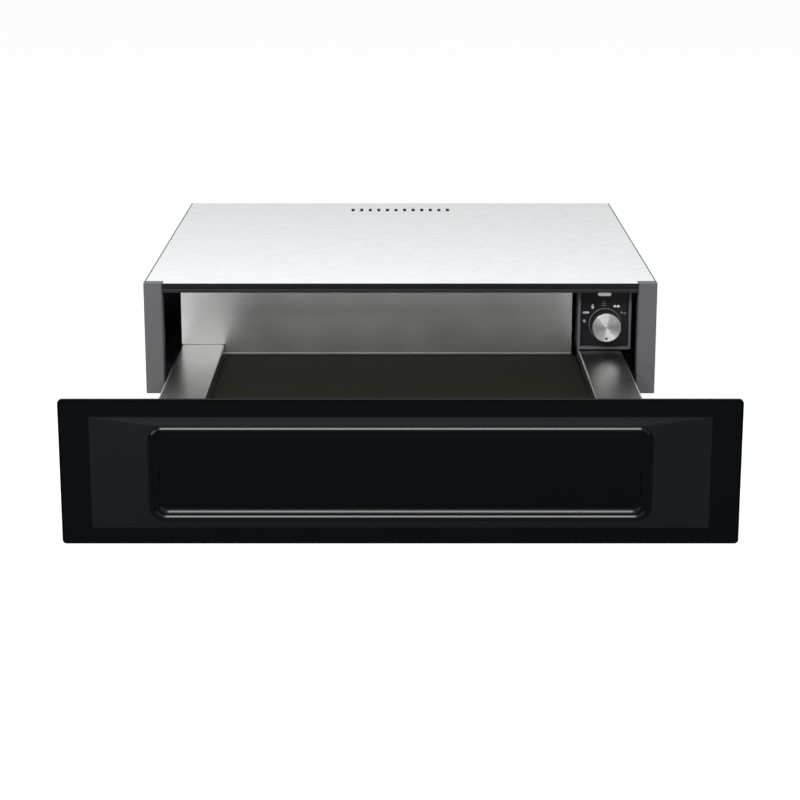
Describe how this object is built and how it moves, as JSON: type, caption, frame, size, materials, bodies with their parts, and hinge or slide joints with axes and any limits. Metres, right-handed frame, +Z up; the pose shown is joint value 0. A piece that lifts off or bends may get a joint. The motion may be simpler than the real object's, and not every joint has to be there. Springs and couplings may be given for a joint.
{
  "type": "built-in warming drawer",
  "caption": "Built-in warming drawer standing open: sheet steel case, tray on telescopic runners behind an embossed black front, control dial in the opening.",
  "frame": {"origin": "middle of the underside of the case, which stands on the shelf of the cabinet niche", "axes": "+Z up, the drawer opens towards -Y, +X to the right of someone facing it"},
  "size_m": [0.597, 0.9603, 0.1512],
  "materials": {
    "black_enamel": "gloss black enamel on pressed steel",
    "graphite_paint": "satin graphite powder coat",
    "galvanised_steel": "galvanised sheet",
    "brushed_stainless": "brushed stainless sheet",
    "zinc_plated_steel": "bright zinc plate",
    "spun_aluminium": "spun face, satin",
    "black_plastic": "moulded black",
    "fascia_black": "smooth black fascia",
    "grey_plastic": "moulded dark grey",
    "white_plastic": "moulded natural white",
    "lens": "frosted lens",
    "mat_rubber": "matt anti-slip mat",
    "soft_rubber": "matt rubber",
    "heater_sheath": "heat-darkened sheath"
  },
  "bodies": {
    "case": {"case_side_left": "graphite_paint", "case_side_right": "graphite_paint", "front_rail": "graphite_paint", "control_bezel": "graphite_paint", "case_base": "galvanised_steel", "case_rear_panel": "galvanised_steel", "case_top_cover": "galvanised_steel", "runner_bracket_left": "galvanised_steel", "runner_bracket_right": "galvanised_steel", "case_runner_left": "zinc_plated_steel", "case_runner_right": "zinc_plated_steel", "latch_body": "black_plastic", "control_housing": "black_plastic", "dial_collar": "black_plastic", "control_fascia": "fascia_black", "terminal_box": "grey_plastic", "selector_switch": "white_plastic", "indicator_lens": "lens", "cable_gland": "soft_rubber"},
    "drawer": {"front_panel": "black_enamel", "front_carrier": "galvanised_steel", "drawer_floor": "brushed_stainless", "drawer_rear_wall": "brushed_stainless", "anti_slip_mat": "mat_rubber", "blower_housing": "galvanised_steel", "latch_striker": "zinc_plated_steel", "drawer_runner_left": "zinc_plated_steel", "drawer_runner_right": "zinc_plated_steel", "drawer_side_left": "brushed_stainless", "drawer_side_right": "brushed_stainless", "front_bracket_left": "zinc_plated_steel", "front_bracket_right": "zinc_plated_steel", "front_buffer_lower_left": "soft_rubber", "front_buffer_lower_right": "soft_rubber", "front_buffer_upper_left": "soft_rubber", "front_buffer_upper_right": "soft_rubber", "blower_scroll": "galvanised_steel", "blower_end_plate_left": "galvanised_steel", "blower_end_plate_right": "galvanised_steel", "blower_motor": "zinc_plated_steel", "heating_element": "heater_sheath", "safety_thermostat": "black_plastic"},
    "middle_runner_left": {"middle_runner_left": "zinc_plated_steel"},
    "middle_runner_right": {"middle_runner_right": "zinc_plated_steel"},
    "impeller": {"blower_impeller": "grey_plastic"},
    "dial": {"dial_knob": "spun_aluminium", "dial_shaft": "zinc_plated_steel"},
    "plunger": {"latch_plunger": "white_plastic"}
  },
  "joints": [
    {"name": "drawer_slide", "type": "slide", "parent": "case", "child": "drawer", "axis": [0, -1, 0], "range_m": [-0.392, 0.018]},
    {"name": "middle_runner_left_slide", "type": "slide", "parent": "case", "child": "middle_runner_left", "axis": [0, -1, 0], "range_m": [-0.197, 0.01]},
    {"name": "middle_runner_right_slide", "type": "slide", "parent": "case", "child": "middle_runner_right", "axis": [0, -1, 0], "range_m": [-0.197, 0.01]},
    {"name": "impeller_spin", "type": "hinge", "parent": "drawer", "child": "impeller", "pos_m": [0, -0.1841, 0.0738], "axis": [1, 0, 0], "continuous": true},
    {"name": "dial_turn", "type": "hinge", "parent": "case", "child": "dial", "pos_m": [0.2195, -0.2465, 0.0719], "axis": [0, 1, 0], "range_deg": [0, 245]},
    {"name": "latch_push", "type": "slide", "parent": "case", "child": "plunger", "axis": [0, 1, 0], "range_m": [0, 0.006], "stiffness_N_per_m": 500, "springref_m": -0.006}
  ],
  "couplings": [
    {"joint": "middle_runner_left_slide", "follows": "drawer_slide", "ratio": 0.5},
    {"joint": "middle_runner_right_slide", "follows": "drawer_slide", "ratio": 0.5}
  ]
}
